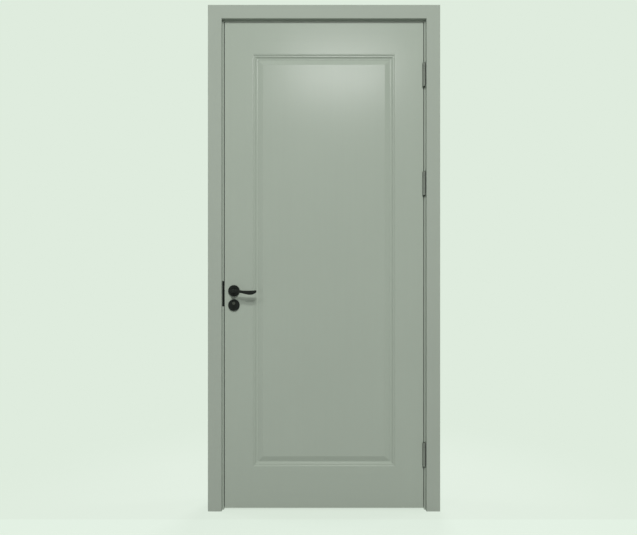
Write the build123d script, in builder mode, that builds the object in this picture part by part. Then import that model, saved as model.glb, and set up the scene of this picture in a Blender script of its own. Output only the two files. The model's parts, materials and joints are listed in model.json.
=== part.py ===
from build123d import *
import os
from math import cos, radians, sin

os.makedirs("parts", exist_ok=True)

# An interior door hung in its lining, drawn shut, in millimetres. X runs to the hinge side,
# Y runs through the wall away from the side that the door opens to, and Z is up from the floor.
# The origin lies on the floor in the middle of the whole outline.

# Leaf
leaf_width = 838.0
leaf_height = 2044.0
leaf_thickness = 40.0
leaf_edge_round = 1.5
floor_gap = 8.0
edge_gap = 3.0

# Stiles, rails and their joints
stile_width = 117.5
top_rail_height = 132.5
bottom_rail_height = 172.0
tenon_length = 68.0
tenon_thickness = 14.0
tenon_shoulder = 20.0
joint_gap = 0.2

# Panel and the mouldings planted round it
groove_depth = 11.0
tongue_thickness = 12.0
tongue_reach = 10.0
panel_edge_gap = 0.5
margin_depth = 10.0
field_depth = 3.0
bevel_width = 21.0
bead_width = 23.0
bead_sink = 0.5
bead_round_width = 7.5
bead_flat_width = 4.0
bead_flat_drop = 4.0
bead_lip = 1.2
bead_round_bulge = 1.0
bead_cove_bulge = 1.6

# Lining boards, casings, stops and seal
jamb_thickness = 32.0
jamb_depth = 120.0
head_housing = 10.0
casing_width = 58.0
casing_thickness = 20.0
casing_margin = 6.0
casing_round = 3.0
stop_thickness = 10.0
stop_depth = 30.0
stop_round = 2.0
seal_gap = 3.0
seal_clearance = 0.3
seal_foot_width = 3.0
seal_foot_depth = 6.0
seal_bulb_width = 7.0

# Butt hinges
top_hinge_drop = 221.0
middle_hinge_drop = 678.0
bottom_hinge_rise = 226.0
hinge_length = 100.0
flap_width = 30.0
flap_thickness = 2.5
knuckle_radius = 6.5
knuckle_stand_off = 7.0
knuckle_gap = 0.1
end_knuckle_length = 27.5
pin_radius = 3.5
pin_fit = 0.05
pin_tip_height = 2.5

# Lock
lock_backset = 40.0
lever_height = 922.0
lock_fit = 0.3
faceplate_width = 20.0
faceplate_height = 162.0
faceplate_thickness = 3.0
faceplate_round = 5.0
faceplate_drop = 24.0
case_depth = 62.0
case_thickness = 16.0
case_wall = 1.5
case_rise = 42.0
case_fall = 90.0
latch_rise = 13.0
latch_height = 20.0
latch_thickness = 12.0
latch_throw = 11.0
latch_tip_flat = 2.0
latch_head_length = 27.0
latch_tail_height = 4.0
latch_tail_thickness = 5.0
latch_hook_length = 4.0
deadbolt_drop = 34.0
deadbolt_height = 20.0
deadbolt_thickness = 9.0
deadbolt_throw = 14.0
deadbolt_length = 60.0
deadbolt_head_length = 24.0
deadbolt_tail_thickness = 6.0
deadbolt_notch = 12.0
follower_radius = 8.0
follower_arm = 16.08
follower_tip_radius = 2.5
follower_arm_thickness = 6.0
running_fit = 0.08
spindle_size = 8.0
spindle_fit = 0.06
spindle_reach = 34.0
spindle_hole_radius = 11.0

# Key cylinder
plug_drop = 52.0
barrel_radius = 8.5
barrel_height = 33.0
barrel_stem = 10.0
barrel_fit = 0.3
barrel_proud = 1.5
plug_radius = 6.3
plug_fit = 0.05
keyway_width = 2.0
keyway_height = 8.0
keyway_depth = 20.0
cam_slot = 10.0
cam_side_gap = 0.2
cam_hub_radius = 7.5
cam_reach = 14.5
cam_arm_width = 5.0
cam_notch_gap = 0.8

# Strike plate and dust box
strike_height = 107.0
strike_depth = 33.0
strike_thickness = 2.0
strike_round = 6.0
strike_drop = 12.5
strike_lip_gap = 0.4
strike_room = 1.0
box_width = 24.0
box_height = 78.0
box_depth = 16.0
box_wall = 1.5

# Roses, levers and thumb turn
rose_radius = 24.0
rose_thickness = 9.0
key_rose_drop = 60.0
lever_length = 100.0
lever_projection = 57.0
lever_gap = 0.3
neck_radius = 9.0
neck_in_rose = 6.0
grip_thickness = 13.0
grip_chamfer = 1.5
turn_wing_length = 27.0
turn_wing_thickness = 8.0
turn_wing_height = 16.0
turn_wing_round = 3.0

# How far the moving pieces turn, in degrees
lever_turn = 40.0
thumb_turn_angle = 90.0

# Lower and upper edge of the lever's grip, from its neck to its tip, as shares of its length
grip_lower_shares = ((0.27, -0.064), (0.50, -0.110), (0.71, -0.151), (0.87, -0.126), (0.965, -0.068))
grip_tip_share = (1.0, -0.010)
grip_upper_shares = ((0.98, 0.036), (0.80, 0.027), (0.56, 0.023), (0.27, 0.045))
grip_lower_end_share = (1.0, 0.56)
grip_upper_start_share = (-1.0, -0.1)

# Places worked out from the sizes
leaf_bottom = floor_gap
leaf_top = floor_gap + leaf_height
leaf_centre_z = (leaf_bottom + leaf_top) / 2
leaf_front = (lever_projection - jamb_depth - casing_thickness) / 2
leaf_back = leaf_front + leaf_thickness
leaf_centre_y = (leaf_front + leaf_back) / 2
lock_edge = -leaf_width / 2
hinge_edge = leaf_width / 2
opening_width = leaf_width - 2 * stile_width
opening_bottom = leaf_bottom + bottom_rail_height
opening_top = leaf_top - top_rail_height
opening_height = opening_top - opening_bottom
opening_centre_z = (opening_bottom + opening_top) / 2
jamb_face = leaf_width / 2 + edge_gap
jamb_back = leaf_front + jamb_depth
jamb_centre_y = (leaf_front + jamb_back) / 2
head_face = leaf_top + edge_gap
head_top = head_face + jamb_thickness
stop_front = leaf_back + seal_gap
seal_line = stop_thickness / 2
hinge_axis_x = hinge_edge + edge_gap / 2
hinge_axis_y = leaf_front - knuckle_stand_off
hinge_heights = {
    "top": leaf_top - top_hinge_drop,
    "middle": leaf_top - middle_hinge_drop,
    "bottom": leaf_bottom + bottom_hinge_rise,
}
spindle_x = lock_edge + lock_backset
spindle_z = lever_height
plug_z = spindle_z - plug_drop
key_rose_z = spindle_z - key_rose_drop
case_front = lock_edge + faceplate_thickness
case_back = case_front + case_depth
case_centre_x = (case_front + case_back) / 2
case_top = spindle_z + case_rise
case_bottom = spindle_z - case_fall
case_centre_z = (case_top + case_bottom) / 2
case_height = case_top - case_bottom
case_near = leaf_centre_y - case_thickness / 2
case_far = leaf_centre_y + case_thickness / 2
latch_z = spindle_z + latch_rise
deadbolt_z = spindle_z - deadbolt_drop
strike_z = spindle_z - strike_drop
barrel_front = leaf_front - rose_thickness - barrel_proud
barrel_back = leaf_back + rose_thickness + barrel_proud


def save(piece, label):
    """Name a finished piece and write it to its own file."""
    piece.part.label = label
    export_step(piece.part, f"parts/{label}.step")


def barrel_outline(clearance):
    """The section of the key cylinder: a round top over a narrow stem, grown by a clearance."""
    with BuildSketch() as section:
        with Locations((spindle_x, plug_z)):
            Circle(barrel_radius + clearance)
        stem_bottom = plug_z + barrel_radius - barrel_height - clearance
        with Locations((spindle_x, (plug_z + stem_bottom) / 2)):
            Rectangle(barrel_stem + 2 * clearance, plug_z - stem_bottom)
    return section.sketch


def strike_blank(gap):
    """The angle plate without its openings, grown by a gap to make the recess that it lies in."""
    reach = casing_margin - strike_lip_gap
    with BuildPart() as blank:
        with BuildSketch(Plane.YZ.offset(-jamb_face)):
            with Locations((leaf_front + strike_depth / 2, strike_z)):
                RectangleRounded(strike_depth + 2 * gap, strike_height + 2 * gap, strike_round)
            with Locations((leaf_front + strike_depth / 4, strike_z)):
                Rectangle(strike_depth / 2 + 2 * gap, strike_height + 2 * gap)
        extrude(amount=-strike_thickness)
        with BuildSketch(Plane.XZ.offset(-leaf_front)):
            with Locations((-jamb_face - reach / 2, strike_z)):
                RectangleRounded(reach + 2 * gap, strike_height + 2 * gap, reach / 3)
            with Locations((-jamb_face - reach / 4, strike_z)):
                Rectangle(reach / 2, strike_height + 2 * gap)
        extrude(amount=-strike_thickness)
    return blank.part


def stile_blank(side):
    """An upright of the leaf with its panel groove and mortises: side is -1 at the lock, 1 at the hinges."""
    outer = side * leaf_width / 2
    inner = outer - side * stile_width
    with BuildPart() as upright:
        with BuildSketch(Plane.XZ.offset(-leaf_front)):
            with Locations(((outer + inner) / 2, leaf_centre_z)):
                Rectangle(stile_width, leaf_height)
        extrude(amount=-leaf_thickness)
        outer_edges = upright.edges().filter_by(Axis.Z).group_by(Axis.X)[0 if side < 0 else -1]
        fillet(outer_edges, leaf_edge_round)
        with BuildSketch(Plane.XY.offset(opening_bottom - groove_depth)):
            with Locations((inner, leaf_centre_y)):
                Rectangle(2 * groove_depth, tongue_thickness)
        extrude(amount=opening_height + 2 * groove_depth, mode=Mode.SUBTRACT)
        for low, height in ((leaf_bottom, bottom_rail_height), (opening_top, top_rail_height)):
            with BuildSketch(Plane.YZ.offset(inner)):
                with Locations((leaf_centre_y, low + height / 2)):
                    Rectangle(tenon_thickness + 2 * joint_gap, height - 2 * tenon_shoulder + 2 * joint_gap)
            extrude(amount=side * (tenon_length + joint_gap), mode=Mode.SUBTRACT)
    return upright.part


def seal_sweep(foot_only):
    """The seal strip up one side, over the head and down the other, or only the foot in its groove."""
    side = jamb_face - seal_line
    top = head_face - seal_line
    with BuildPart() as strip:
        with BuildLine() as path:
            Polyline((-side, stop_front, 0), (-side, stop_front, top), (side, stop_front, top), (side, stop_front, 0))
        with BuildSketch(Plane.XY):
            with Locations((-side, stop_front + seal_foot_depth / 2)):
                Rectangle(seal_foot_width, seal_foot_depth)
            if not foot_only:
                with BuildLine():
                    left = (-side - seal_bulb_width / 2, stop_front)
                    crown = (-side, stop_front - seal_gap + seal_clearance)
                    right = (-side + seal_bulb_width / 2, stop_front)
                    ThreePointArc(left, crown, right)
                    Line(right, left)
                make_face()
        sweep(path=path.line, transition=Transition.RIGHT)
    return strip.part


snug_barrel = barrel_outline(0)
clear_barrel = barrel_outline(barrel_fit)
seal_foot = seal_sweep(True)


# Lining: two side boards housed in a head board
def recess_hinges(board_face, outward):
    """Boxes that sink the hinge flaps flush into a board, as tools to cut it with."""
    with BuildPart() as tools:
        for height in hinge_heights.values():
            with BuildSketch(Plane.YZ.offset(board_face)):
                with Locations((leaf_front + flap_width / 2, height)):
                    Rectangle(flap_width + 2 * joint_gap, hinge_length + 2 * joint_gap)
            extrude(amount=outward * flap_thickness)
    return tools.part


hinge_jamb_cuts = recess_hinges(jamb_face, 1)
hinge_stile_cuts = recess_hinges(hinge_edge, -1)


def jamb_blank(side):
    """A side board of the lining, up to its seat in the head board."""
    with BuildPart() as board:
        with BuildSketch(Plane.XY):
            with Locations((side * (jamb_face + jamb_thickness / 2), jamb_centre_y)):
                Rectangle(jamb_thickness, jamb_depth)
        extrude(amount=head_face + head_housing)
    return board.part


with BuildPart() as hinge_jamb:
    add(jamb_blank(1))
    add(hinge_jamb_cuts, mode=Mode.SUBTRACT)
save(hinge_jamb, "hinge_jamb")

with BuildPart() as strike_jamb:
    add(jamb_blank(-1))
    add(strike_blank(joint_gap), mode=Mode.SUBTRACT)
    with BuildSketch(Plane.YZ.offset(-jamb_face)):
        with Locations((leaf_centre_y, strike_z)):
            Rectangle(box_width + 2 * joint_gap, box_height + 2 * joint_gap)
    extrude(amount=-strike_thickness - box_depth - joint_gap, mode=Mode.SUBTRACT)
save(strike_jamb, "strike_jamb")

with BuildPart() as head_jamb:
    with BuildSketch(Plane.XZ.offset(-leaf_front)):
        with Locations((0, (head_face + head_top) / 2)):
            Rectangle(2 * (jamb_face + jamb_thickness), jamb_thickness)
        for side in (-1, 1):
            with Locations((side * (jamb_face + jamb_thickness / 2), head_face + head_housing / 2)):
                Rectangle(jamb_thickness, head_housing, mode=Mode.SUBTRACT)
    extrude(amount=-jamb_depth)
save(head_jamb, "head_jamb")


# Casings: flat boards mitred at the top corners, with eased front edges
casing_inner = jamb_face + casing_margin
casing_outer = casing_inner + casing_width
casing_inner_top = head_face + casing_margin
casing_outer_top = casing_inner_top + casing_width


def casing(label, corners, face):
    """One casing board from its four corners, on the front of the lining (-1) or the rear (1)."""
    seat = leaf_front if face < 0 else jamb_back
    with BuildPart() as board:
        with BuildSketch(Plane.XZ.offset(-seat)):
            with BuildLine():
                Polyline(*corners, close=True)
            make_face()
        extrude(amount=-face * casing_thickness)
        shown = board.faces().sort_by(Axis.Y)[0 if face < 0 else -1]
        long_axis = Axis.X if "head" in label else Axis.Z
        fillet(shown.edges().filter_by(long_axis), casing_round)
    save(board, label)


for place, face in (("front", -1), ("rear", 1)):
    for name, side in (("hinge", 1), ("strike", -1)):
        casing(
            f"{place}_{name}_casing",
            (
                (side * casing_inner, 0),
                (side * casing_outer, 0),
                (side * casing_outer, casing_outer_top),
                (side * casing_inner, casing_inner_top),
            ),
            face,
        )
    casing(
        f"{place}_head_casing",
        (
            (-casing_inner, casing_inner_top),
            (casing_inner, casing_inner_top),
            (casing_outer, casing_outer_top),
            (-casing_outer, casing_outer_top),
        ),
        face,
    )


# Stops planted on the lining, and the seal pressed into their groove
for name, side in (("hinge", 1), ("strike", -1)):
    with BuildPart() as side_stop:
        with BuildSketch(Plane.XY):
            with Locations((side * (jamb_face - stop_thickness / 2), stop_front + stop_depth / 2)):
                Rectangle(stop_thickness, stop_depth)
        extrude(amount=head_face - stop_thickness)
        inner_edges = side_stop.edges().filter_by(Axis.Z).group_by(Axis.X)[0 if side > 0 else -1]
        fillet(inner_edges.sort_by(Axis.Y)[-1], stop_round)
        add(seal_foot, mode=Mode.SUBTRACT)
    save(side_stop, f"{name}_stop")

with BuildPart() as head_stop:
    with BuildSketch(Plane.XZ.offset(-stop_front)):
        with Locations((0, head_face - stop_thickness / 2)):
            Rectangle(2 * jamb_face, stop_thickness)
    extrude(amount=-stop_depth)
    add(seal_foot, mode=Mode.SUBTRACT)
save(head_stop, "head_stop")

with BuildPart() as frame_seal:
    add(seal_sweep(False))
save(frame_seal, "frame_seal")


# Strike plate and the dust box behind it
def bolt_opening(thickness, height, room):
    """Width and height of an opening that a bolt passes with the given room all round."""
    return thickness + 2 * room, height + 2 * room


with BuildPart() as strike_plate:
    add(strike_blank(0))
    with BuildSketch(Plane.YZ.offset(-jamb_face)):
        with Locations((leaf_centre_y, latch_z)):
            Rectangle(*bolt_opening(latch_thickness, latch_height, strike_room))
        with Locations((leaf_centre_y, deadbolt_z)):
            Rectangle(*bolt_opening(deadbolt_thickness, deadbolt_height, strike_room))
    extrude(amount=-strike_thickness, mode=Mode.SUBTRACT)
save(strike_plate, "strike_plate")

with BuildPart() as strike_box:
    with BuildSketch(Plane.YZ.offset(-jamb_face - strike_thickness)):
        with Locations((leaf_centre_y, strike_z)):
            Rectangle(box_width, box_height)
    extrude(amount=-box_depth)
    offset(amount=-box_wall, openings=strike_box.faces().sort_by(Axis.X)[-1])
save(strike_box, "strike_box")


# Hinges: two flaps whose knuckles interleave on one pin
def hinge_flap(label, centre, side):
    """One flap of a hinge: side is 1 on the lining, with the end knuckles, and -1 on the leaf."""
    low = centre - hinge_length / 2
    middle_length = hinge_length - 2 * end_knuckle_length
    ends = ((low, end_knuckle_length), (low + end_knuckle_length + middle_length, end_knuckle_length))
    middle = ((low + end_knuckle_length + knuckle_gap, middle_length - 2 * knuckle_gap),)
    plate_face = jamb_face if side > 0 else hinge_edge
    plate_x = plate_face + side * flap_thickness / 2
    with BuildPart() as flap:
        with BuildSketch(Plane.XY.offset(low)):
            with Locations((plate_x, leaf_front + flap_width / 2)):
                Rectangle(flap_thickness, flap_width)
        extrude(amount=hinge_length)
        for level, length in ends if side > 0 else middle:
            with BuildSketch(Plane.XY.offset(level)):
                with Locations((hinge_axis_x, hinge_axis_y)):
                    Circle(knuckle_radius)
                with Locations((plate_x, hinge_axis_y + knuckle_stand_off / 2)):
                    Rectangle(flap_thickness, knuckle_stand_off)
                with Locations((hinge_axis_x, hinge_axis_y)):
                    Circle(pin_radius + pin_fit, mode=Mode.SUBTRACT)
            extrude(amount=length)
    save(flap, label)


def hinge_pin(label, centre):
    """The pin, whose tips show above and below the barrel."""
    with BuildPart() as pin:
        with BuildSketch(Plane.XY.offset(centre)):
            with Locations((hinge_axis_x, hinge_axis_y)):
                Circle(pin_radius)
        extrude(amount=hinge_length / 2 + pin_tip_height, both=True)
    save(pin, label)


for name, centre in hinge_heights.items():
    hinge_flap(f"{name}_hinge_frame_leaf", centre, 1)
    hinge_flap(f"{name}_hinge_door_leaf", centre, -1)
    hinge_pin(f"{name}_hinge_pin", centre)


# Leaf: two stiles, two rails and a raised panel
with BuildPart() as lock_stile:
    add(stile_blank(-1))
    with BuildSketch(Plane.YZ.offset(lock_edge)):
        with Locations((leaf_centre_y, spindle_z - faceplate_drop)):
            RectangleRounded(
                faceplate_width + 2 * joint_gap,
                faceplate_height + 2 * joint_gap,
                faceplate_round + joint_gap,
            )
    extrude(amount=faceplate_thickness, mode=Mode.SUBTRACT)
    with BuildSketch(Plane.YZ.offset(case_front)):
        with Locations((leaf_centre_y, case_centre_z)):
            Rectangle(case_thickness + 2 * joint_gap, case_height + 2 * joint_gap)
    extrude(amount=case_depth + joint_gap, mode=Mode.SUBTRACT)
    with BuildSketch(Plane.XZ.offset(-leaf_front)):
        with Locations((spindle_x, spindle_z)):
            Circle(spindle_hole_radius)
        add(clear_barrel)
    extrude(amount=-leaf_thickness, mode=Mode.SUBTRACT)
save(lock_stile, "lock_stile")

with BuildPart() as hinge_stile:
    add(stile_blank(1))
    add(hinge_stile_cuts, mode=Mode.SUBTRACT)
save(hinge_stile, "hinge_stile")

for name, low, height, groove_z in (
    ("top_rail", opening_top, top_rail_height, opening_top),
    ("bottom_rail", leaf_bottom, bottom_rail_height, opening_bottom),
):
    with BuildPart() as rail:
        with BuildSketch(Plane.XZ.offset(-leaf_front)):
            with Locations((0, low + height / 2)):
                Rectangle(opening_width, height)
        extrude(amount=-leaf_thickness)
        with BuildSketch(Plane.XZ.offset(tenon_thickness / 2 - leaf_centre_y)):
            with Locations((0, low + height / 2)):
                Rectangle(opening_width + 2 * tenon_length, height - 2 * tenon_shoulder)
        extrude(amount=-tenon_thickness)
        with BuildSketch(Plane.YZ.offset(-opening_width / 2)):
            with Locations((leaf_centre_y, groove_z)):
                Rectangle(tongue_thickness, 2 * groove_depth)
        extrude(amount=opening_width, mode=Mode.SUBTRACT)
    save(rail, name)


def opening_rectangle(inset):
    """Width and height of a rectangle set in from the edges of the panel's opening."""
    return opening_width - 2 * inset, opening_height - 2 * inset


with BuildPart() as panel:
    margin_thickness = leaf_thickness - 2 * margin_depth
    for inset, thickness in ((-tongue_reach, tongue_thickness), (panel_edge_gap, margin_thickness)):
        with BuildSketch(Plane.XZ.offset(thickness / 2 - leaf_centre_y)):
            with Locations((0, opening_centre_z)):
                Rectangle(*opening_rectangle(inset))
        extrude(amount=-thickness)
    for margin, field in (
        (leaf_front + margin_depth, leaf_front + field_depth),
        (leaf_back - margin_depth, leaf_back - field_depth),
    ):
        with BuildSketch(Plane.XZ.offset(-margin)):
            with Locations((0, opening_centre_z)):
                Rectangle(*opening_rectangle(bead_width))
        with BuildSketch(Plane.XZ.offset(-field)):
            with Locations((0, opening_centre_z)):
                Rectangle(*opening_rectangle(bead_width + bevel_width))
        loft(ruled=True)
save(panel, "panel")


# Mouldings: mitred strips with a rolled edge, a flat and a cove down to the panel
def bead(label, centre, inward, outward, length):
    """One moulding strip, seated on the panel's margin against the edge of a stile or rail."""
    along = Vector(*inward).cross(Vector(*outward))
    seat = Plane(origin=centre, x_dir=along, z_dir=outward)
    section = Plane(origin=centre, x_dir=inward, z_dir=along)
    top = margin_depth - bead_sink
    flat = margin_depth - bead_flat_drop
    flat_end = bead_round_width + bead_flat_width
    with BuildPart() as strip:
        with BuildSketch(seat):
            with BuildLine():
                Polyline(
                    (-length / 2, 0),
                    (length / 2, 0),
                    (length / 2 - bead_width, bead_width),
                    (bead_width - length / 2, bead_width),
                    close=True,
                )
            make_face()
        extrude(amount=margin_depth)
        with BuildSketch(section):
            with BuildLine():
                Line((0, 0), (0, top))
                SagittaArc((0, top), (bead_round_width, flat), bead_round_bulge)
                Line((bead_round_width, flat), (flat_end, flat))
                SagittaArc((flat_end, flat), (bead_width, bead_lip), -bead_cove_bulge)
                Polyline((bead_width, bead_lip), (bead_width, 0), (0, 0))
            make_face()
        extrude(amount=length / 2, both=True, mode=Mode.INTERSECT)
    save(strip, label)


for place, margin, outward in (
    ("front", leaf_front + margin_depth, (0, -1, 0)),
    ("rear", leaf_back - margin_depth, (0, 1, 0)),
):
    half = opening_width / 2
    bead(f"{place}_lock_bead", (-half, margin, opening_centre_z), (1, 0, 0), outward, opening_height)
    bead(f"{place}_hinge_bead", (half, margin, opening_centre_z), (-1, 0, 0), outward, opening_height)
    bead(f"{place}_top_bead", (0, margin, opening_top), (0, 0, -1), outward, opening_width)
    bead(f"{place}_bottom_bead", (0, margin, opening_bottom), (0, 0, 1), outward, opening_width)


# Mortise lock: a folded case with a cover, behind a faceplate
with BuildPart() as lock_case:
    with BuildSketch(Plane.XZ.offset(-case_near)):
        with Locations((case_centre_x, case_centre_z)):
            Rectangle(case_depth, case_height)
    extrude(amount=case_wall - case_thickness)
    offset(amount=-case_wall, openings=lock_case.faces().sort_by(Axis.Y)[-1])
    with BuildSketch(Plane.XZ.offset(-case_near)):
        with Locations((spindle_x, spindle_z)):
            Circle(follower_radius + running_fit)
        add(clear_barrel)
    extrude(amount=-case_wall, mode=Mode.SUBTRACT)
    with BuildSketch(Plane.YZ.offset(case_front)):
        with Locations((leaf_centre_y, latch_z)):
            Rectangle(*bolt_opening(latch_thickness, latch_height, lock_fit))
        with Locations((leaf_centre_y, deadbolt_z)):
            Rectangle(*bolt_opening(deadbolt_thickness, deadbolt_height, lock_fit))
    extrude(amount=case_wall, mode=Mode.SUBTRACT)
save(lock_case, "lock_case")

with BuildPart() as lock_cover:
    with BuildSketch(Plane.XZ.offset(case_wall - case_far)):
        with Locations((case_centre_x, case_centre_z)):
            Rectangle(case_depth, case_height)
        with Locations((spindle_x, spindle_z)):
            Circle(follower_radius + running_fit, mode=Mode.SUBTRACT)
        add(clear_barrel, mode=Mode.SUBTRACT)
    extrude(amount=-case_wall)
save(lock_cover, "lock_cover")

with BuildPart() as lock_faceplate:
    with BuildSketch(Plane.YZ.offset(lock_edge)):
        with Locations((leaf_centre_y, spindle_z - faceplate_drop)):
            RectangleRounded(faceplate_width, faceplate_height, faceplate_round)
        with Locations((leaf_centre_y, latch_z)):
            Rectangle(*bolt_opening(latch_thickness, latch_height, lock_fit), mode=Mode.SUBTRACT)
        with Locations((leaf_centre_y, deadbolt_z)):
            Rectangle(*bolt_opening(deadbolt_thickness, deadbolt_height, lock_fit), mode=Mode.SUBTRACT)
    extrude(amount=faceplate_thickness)
save(lock_faceplate, "lock_faceplate")

# Latch bolt: bevelled on the side that meets the strike first, with a hooked tail
arm_angle = lever_turn / 2
arm_tip_x = spindle_x - follower_arm * sin(radians(arm_angle))
arm_tip_z = spindle_z + follower_arm * cos(radians(arm_angle))
latch_top = latch_z + latch_height / 2
latch_tip = lock_edge - latch_throw
latch_end = latch_tip + latch_head_length
hook_face = arm_tip_x + follower_tip_radius + 2 * lock_fit

with BuildPart() as latch_bolt:
    near = leaf_centre_y - latch_thickness / 2
    far = leaf_centre_y + latch_thickness / 2
    with BuildSketch(Plane.XY.offset(latch_z - latch_height / 2)):
        with BuildLine():
            Polyline(
                (latch_tip, near),
                (latch_tip, near + latch_tip_flat),
                (lock_edge, far),
                (latch_end, far),
                (latch_end, near),
                close=True,
            )
        make_face()
    extrude(amount=latch_height)
    with BuildSketch(Plane.XZ.offset(latch_tail_thickness / 2 - leaf_centre_y)):
        with BuildLine():
            Polyline(
                (latch_end, latch_top),
                (hook_face + latch_hook_length, latch_top),
                (hook_face + latch_hook_length, arm_tip_z),
                (hook_face, arm_tip_z),
                (hook_face, latch_top - latch_tail_height),
                (latch_end, latch_top - latch_tail_height),
                close=True,
            )
        make_face()
    extrude(amount=-latch_tail_thickness)
save(latch_bolt, "latch_bolt")

# Follower: turned by the spindle, its arm draws the latch back by the hook
with BuildPart() as follower:
    with BuildSketch(Plane.XZ.offset(-case_near)):
        with Locations((spindle_x, spindle_z)):
            Circle(follower_radius)
    extrude(amount=-case_thickness)
    with BuildSketch(Plane.XZ.offset(follower_arm_thickness / 2 - leaf_centre_y)):
        with Locations(((spindle_x + arm_tip_x) / 2, (spindle_z + arm_tip_z) / 2)):
            SlotCenterToCenter(follower_arm, 2 * follower_tip_radius, rotation=90 + arm_angle)
    extrude(amount=-follower_arm_thickness)
    with BuildSketch(Plane.XZ.offset(-case_near)):
        with Locations((spindle_x, spindle_z)):
            Rectangle(spindle_size + 2 * spindle_fit, spindle_size + 2 * spindle_fit)
    extrude(amount=-case_thickness, mode=Mode.SUBTRACT)
save(follower, "follower")

with BuildPart() as spindle:
    with BuildSketch(Plane.XZ.offset(spindle_reach - leaf_front)):
        with Locations((spindle_x, spindle_z)):
            Rectangle(spindle_size, spindle_size)
    extrude(amount=-leaf_thickness - 2 * spindle_reach)
save(spindle, "spindle")

# Deadbolt: notched underneath, where the cam throws it
notch_top = plug_z + cam_reach + cam_notch_gap

with BuildPart() as deadbolt:
    with BuildSketch(Plane.XZ.offset(deadbolt_thickness / 2 - leaf_centre_y)):
        with Locations((lock_edge + deadbolt_head_length / 2, deadbolt_z)):
            Rectangle(deadbolt_head_length, deadbolt_height)
    extrude(amount=-deadbolt_thickness)
    with BuildSketch(Plane.XZ.offset(deadbolt_tail_thickness / 2 - leaf_centre_y)):
        with Locations((lock_edge + deadbolt_length / 2, deadbolt_z)):
            Rectangle(deadbolt_length, deadbolt_height)
        notch_bottom = deadbolt_z - deadbolt_height / 2
        with Locations((spindle_x + deadbolt_throw / 2, (notch_bottom + notch_top) / 2)):
            Rectangle(deadbolt_notch, notch_top - notch_bottom, mode=Mode.SUBTRACT)
    extrude(amount=-deadbolt_tail_thickness)
save(deadbolt, "deadbolt")

# Key cylinder: body, key plug in front, cam in the middle, thumb turn behind
with BuildPart() as cylinder_body:
    with BuildSketch(Plane.XZ.offset(-barrel_front)):
        add(snug_barrel)
        with Locations((spindle_x, plug_z)):
            Circle(plug_radius + plug_fit, mode=Mode.SUBTRACT)
    extrude(amount=barrel_front - barrel_back)
    with BuildSketch(Plane.XZ.offset(cam_slot / 2 - leaf_centre_y)):
        with Locations((spindle_x, plug_z)):
            Rectangle(2 * barrel_radius, 2 * barrel_radius)
    extrude(amount=-cam_slot, mode=Mode.SUBTRACT)
save(cylinder_body, "cylinder_body")

with BuildPart() as key_plug:
    with BuildSketch(Plane.XZ.offset(-barrel_front)):
        with Locations((spindle_x, plug_z)):
            Circle(plug_radius)
    extrude(amount=barrel_front - leaf_centre_y + cam_slot / 2)
    with BuildSketch(Plane.XZ.offset(-barrel_front)):
        with Locations((spindle_x, plug_z)):
            Rectangle(keyway_width, keyway_height)
    extrude(amount=-keyway_depth, mode=Mode.SUBTRACT)
save(key_plug, "key_plug")

with BuildPart() as cylinder_cam:
    cam_thickness = cam_slot - 2 * cam_side_gap
    cam_lean = thumb_turn_angle / 2
    arm_centre_x = spindle_x + cam_reach / 2 * sin(radians(cam_lean))
    arm_centre_z = plug_z + cam_reach / 2 * cos(radians(cam_lean))
    with BuildSketch(Plane.XZ.offset(cam_thickness / 2 - leaf_centre_y)):
        with Locations((spindle_x, plug_z)):
            Circle(cam_hub_radius)
        with Locations((arm_centre_x, arm_centre_z)):
            Rectangle(cam_arm_width, cam_reach, rotation=-cam_lean)
    extrude(amount=-cam_thickness)
save(cylinder_cam, "cylinder_cam")

with BuildPart() as thumb_turn:
    shaft_start = leaf_centre_y + cam_slot / 2 - cam_side_gap
    with BuildSketch(Plane.XZ.offset(-shaft_start)):
        with Locations((spindle_x, plug_z)):
            Circle(plug_radius)
    extrude(amount=shaft_start - barrel_back - lever_gap)
    with BuildSketch(Plane.XZ.offset(-barrel_back - lever_gap)):
        with Locations((spindle_x, plug_z)):
            RectangleRounded(turn_wing_thickness, turn_wing_length, turn_wing_round)
    extrude(amount=-turn_wing_height)
save(thumb_turn, "thumb_turn")


# Roses: turned discs
def rose(label, centre_z, face, bore):
    """A rose on the front (-1) or the rear (1) of the leaf, with the given hole through it."""
    seat = leaf_front if face < 0 else leaf_back
    with BuildPart() as disc:
        with BuildSketch(Plane.XZ.offset(-seat)):
            with Locations((spindle_x, centre_z)):
                Circle(rose_radius)
            add(bore, mode=Mode.SUBTRACT)
        extrude(amount=-face * rose_thickness)
    save(disc, label)


with BuildSketch() as neck_bore:
    with Locations((spindle_x, spindle_z)):
        Circle(neck_radius + lever_gap)

rose("front_lever_rose", spindle_z, -1, neck_bore.sketch)
rose("rear_lever_rose", spindle_z, 1, neck_bore.sketch)
rose("front_key_rose", key_rose_z, -1, clear_barrel)
rose("rear_turn_rose", key_rose_z, 1, clear_barrel)


# Levers: a round neck out of the rose and a waved grip
def lever_points(shares):
    """Points of the grip's outline from their shares of the lever's length."""
    return [(spindle_x + along * lever_length, spindle_z + up * lever_length) for along, up in shares]


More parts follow.
